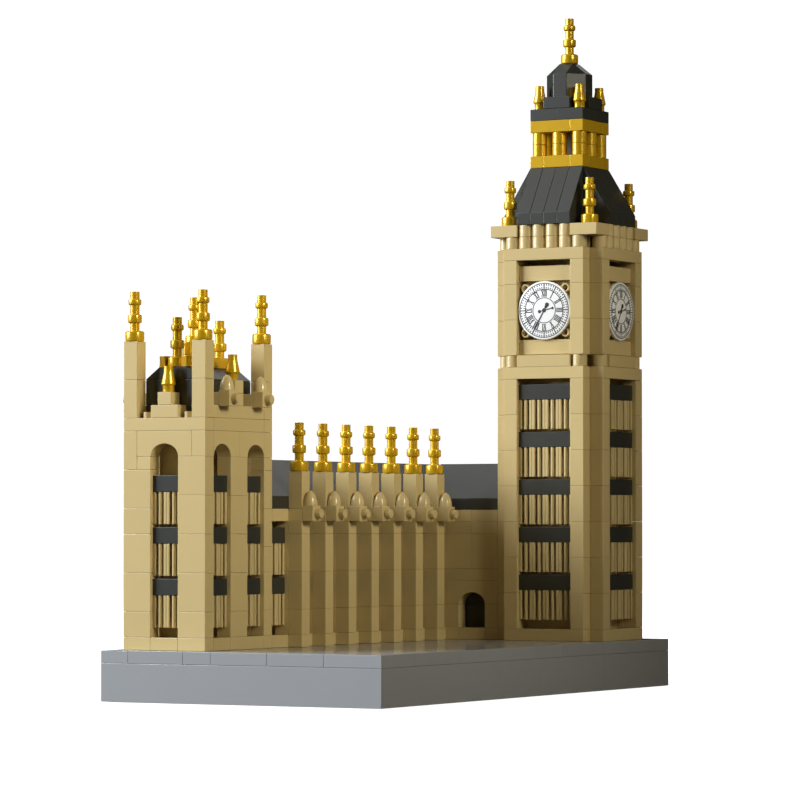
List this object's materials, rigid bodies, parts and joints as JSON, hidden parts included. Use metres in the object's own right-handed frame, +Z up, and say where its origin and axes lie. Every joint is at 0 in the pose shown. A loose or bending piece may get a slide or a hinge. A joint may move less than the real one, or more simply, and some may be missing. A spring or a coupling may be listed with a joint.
{
  "type": "miniature landmark model",
  "caption": "Desk model of a gothic riverside palace wing with a clock tower, built from small click-together blocks on a flat grey base.",
  "frame": {"origin": "centre of the underside of the grey base, on the surface it stands on", "axes": "+X runs from the long wing across the base to the clock tower, +Y runs from the pavilion end to the tower end, +Z is up"},
  "size_m": [0.0808, 0.16, 0.1821],
  "materials": {
    "base_block": "moulded light grey ABS, smooth and glossy",
    "tan_block": "moulded sand-tan ABS, smooth satin gloss, with a hairline seam at every block",
    "dark_block": "moulded dark grey ABS, smooth satin gloss",
    "gold_block": "ABS with a pearl gold pigment, glossy",
    "dial_plate": "white ABS with a printed black clock face"
  },
  "bodies": {
    "building": {"base_course": "base_block", "base_deck": "base_block", "pavilion_walls": "tan_block", "pavilion_window_bars": "tan_block", "pavilion_parapet": "tan_block", "wing_walls": "tan_block", "door_bay": "tan_block", "wing_window_bars": "tan_block", "tower_plinth": "tan_block", "tower_shaft": "tan_block", "tower_window_bars": "tan_block", "clock_stage": "tan_block", "clock_core": "tan_block", "tower_frieze": "tan_block", "buttress_1": "tan_block", "buttress_2": "tan_block", "buttress_3": "tan_block", "buttress_4": "tan_block", "buttress_5": "tan_block", "buttress_6": "tan_block", "buttress_7": "tan_block", "pavilion_window_bands": "dark_block", "wing_window_bands": "dark_block", "tower_window_bands": "dark_block", "pavilion_roof": "dark_block", "wing_roof": "dark_block", "tower_roof": "dark_block", "cornice": "dark_block", "cap": "dark_block", "dial_south": "dial_plate", "dial_east": "dial_plate", "dial_north": "dial_plate", "dial_west": "dial_plate", "pavilion_crest": "gold_block", "lantern": "gold_block"},
    "pillar_finial_1_body": {"pillar_finial_1": "gold_block"},
    "pillar_finial_2_body": {"pillar_finial_2": "gold_block"},
    "pillar_finial_3_body": {"pillar_finial_3": "gold_block"},
    "pillar_finial_4_body": {"pillar_finial_4": "gold_block"},
    "crest_finial_1_body": {"crest_finial_1": "gold_block"},
    "crest_finial_2_body": {"crest_finial_2": "gold_block"},
    "buttress_finial_1_body": {"buttress_finial_1": "gold_block"},
    "buttress_finial_2_body": {"buttress_finial_2": "gold_block"},
    "buttress_finial_3_body": {"buttress_finial_3": "gold_block"},
    "buttress_finial_4_body": {"buttress_finial_4": "gold_block"},
    "buttress_finial_5_body": {"buttress_finial_5": "gold_block"},
    "buttress_finial_6_body": {"buttress_finial_6": "gold_block"},
    "buttress_finial_7_body": {"buttress_finial_7": "gold_block"},
    "corner_finial_1_body": {"corner_finial_1": "gold_block"},
    "corner_finial_2_body": {"corner_finial_2": "gold_block"},
    "corner_finial_3_body": {"corner_finial_3": "gold_block"},
    "corner_finial_4_body": {"corner_finial_4": "gold_block"},
    "spire_finial_body": {"spire_finial": "gold_block"},
    "parapet_bottle_1_body": {"parapet_bottle_1": "gold_block"},
    "parapet_bottle_2_body": {"parapet_bottle_2": "gold_block"},
    "parapet_bottle_3_body": {"parapet_bottle_3": "gold_block"},
    "cornice_bottle_1_body": {"cornice_bottle_1": "gold_block"},
    "cornice_bottle_2_body": {"cornice_bottle_2": "gold_block"},
    "cornice_bottle_3_body": {"cornice_bottle_3": "gold_block"},
    "cornice_bottle_4_body": {"cornice_bottle_4": "gold_block"}
  },
  "joints": [
    {"name": "pillar_finial_1_turn", "type": "hinge", "parent": "building", "child": "pillar_finial_1_body", "pos_m": [-0.034, -0.074, 0.0896], "axis": [0, 0, 1], "continuous": true},
    {"name": "pillar_finial_2_turn", "type": "hinge", "parent": "building", "child": "pillar_finial_2_body", "pos_m": [-0.014, -0.074, 0.0896], "axis": [0, 0, 1], "continuous": true},
    {"name": "pillar_finial_3_turn", "type": "hinge", "parent": "building", "child": "pillar_finial_3_body", "pos_m": [-0.014, -0.046, 0.0896], "axis": [0, 0, 1], "continuous": true},
    {"name": "pillar_finial_4_turn", "type": "hinge", "parent": "building", "child": "pillar_finial_4_body", "pos_m": [-0.034, -0.046, 0.0896], "axis": [0, 0, 1], "continuous": true},
    {"name": "crest_finial_1_turn", "type": "hinge", "parent": "building", "child": "crest_finial_1_body", "pos_m": [-0.024, -0.07, 0.0832], "axis": [0, 0, 1], "continuous": true},
    {"name": "crest_finial_2_turn", "type": "hinge", "parent": "building", "child": "crest_finial_2_body", "pos_m": [-0.024, -0.05, 0.0832], "axis": [0, 0, 1], "continuous": true},
    {"name": "buttress_finial_1_turn", "type": "hinge", "parent": "building", "child": "buttress_finial_1_body", "pos_m": [-0.01, -0.034, 0.0576], "axis": [0, 0, 1], "continuous": true},
    {"name": "buttress_finial_2_turn", "type": "hinge", "parent": "building", "child": "buttress_finial_2_body", "pos_m": [-0.01, -0.022, 0.0576], "axis": [0, 0, 1], "continuous": true},
    {"name": "buttress_finial_3_turn", "type": "hinge", "parent": "building", "child": "buttress_finial_3_body", "pos_m": [-0.01, -0.01, 0.0576], "axis": [0, 0, 1], "continuous": true},
    {"name": "buttress_finial_4_turn", "type": "hinge", "parent": "building", "child": "buttress_finial_4_body", "pos_m": [-0.01, 0.002, 0.0576], "axis": [0, 0, 1], "continuous": true},
    {"name": "buttress_finial_5_turn", "type": "hinge", "parent": "building", "child": "buttress_finial_5_body", "pos_m": [-0.01, 0.014, 0.0576], "axis": [0, 0, 1], "continuous": true},
    {"name": "buttress_finial_6_turn", "type": "hinge", "parent": "building", "child": "buttress_finial_6_body", "pos_m": [-0.01, 0.026, 0.0576], "axis": [0, 0, 1], "continuous": true},
    {"name": "buttress_finial_7_turn", "type": "hinge", "parent": "building", "child": "buttress_finial_7_body", "pos_m": [-0.01, 0.038, 0.0576], "axis": [0, 0, 1], "continuous": true},
    {"name": "corner_finial_1_turn", "type": "hinge", "parent": "building", "child": "corner_finial_1_body", "pos_m": [0.008, 0.048, 0.1248], "axis": [0, 0, 1], "continuous": true},
    {"name": "corner_finial_2_turn", "type": "hinge", "parent": "building", "child": "corner_finial_2_body", "pos_m": [0.032, 0.048, 0.1248], "axis": [0, 0, 1], "continuous": true},
    {"name": "corner_finial_3_turn", "type": "hinge", "parent": "building", "child": "corner_finial_3_body", "pos_m": [0.032, 0.072, 0.1248], "axis": [0, 0, 1], "continuous": true},
    {"name": "corner_finial_4_turn", "type": "hinge", "parent": "building", "child": "corner_finial_4_body", "pos_m": [0.008, 0.072, 0.1248], "axis": [0, 0, 1], "continuous": true},
    {"name": "spire_finial_turn", "type": "hinge", "parent": "building", "child": "spire_finial_body", "pos_m": [0.02, 0.06, 0.1696], "axis": [0, 0, 1], "continuous": true},
    {"name": "parapet_bottle_1_turn", "type": "hinge", "parent": "building", "child": "parapet_bottle_1_body", "pos_m": [-0.024, -0.074, 0.0768], "axis": [0, 0, 1], "continuous": true},
    {"name": "parapet_bottle_2_turn", "type": "hinge", "parent": "building", "child": "parapet_bottle_2_body", "pos_m": [-0.014, -0.06, 0.08], "axis": [0, 0, 1], "continuous": true},
    {"name": "parapet_bottle_3_turn", "type": "hinge", "parent": "building", "child": "parapet_bottle_3_body", "pos_m": [-0.034, -0.06, 0.08], "axis": [0, 0, 1], "continuous": true},
    {"name": "cornice_bottle_1_turn", "type": "hinge", "parent": "building", "child": "cornice_bottle_1_body", "pos_m": [0.014, 0.054, 0.1568], "axis": [0, 0, 1], "continuous": true},
    {"name": "cornice_bottle_2_turn", "type": "hinge", "parent": "building", "child": "cornice_bottle_2_body", "pos_m": [0.026, 0.054, 0.1568], "axis": [0, 0, 1], "continuous": true},
    {"name": "cornice_bottle_3_turn", "type": "hinge", "parent": "building", "child": "cornice_bottle_3_body", "pos_m": [0.026, 0.066, 0.1568], "axis": [0, 0, 1], "continuous": true},
    {"name": "cornice_bottle_4_turn", "type": "hinge", "parent": "building", "child": "cornice_bottle_4_body", "pos_m": [0.014, 0.066, 0.1568], "axis": [0, 0, 1], "continuous": true}
  ]
}
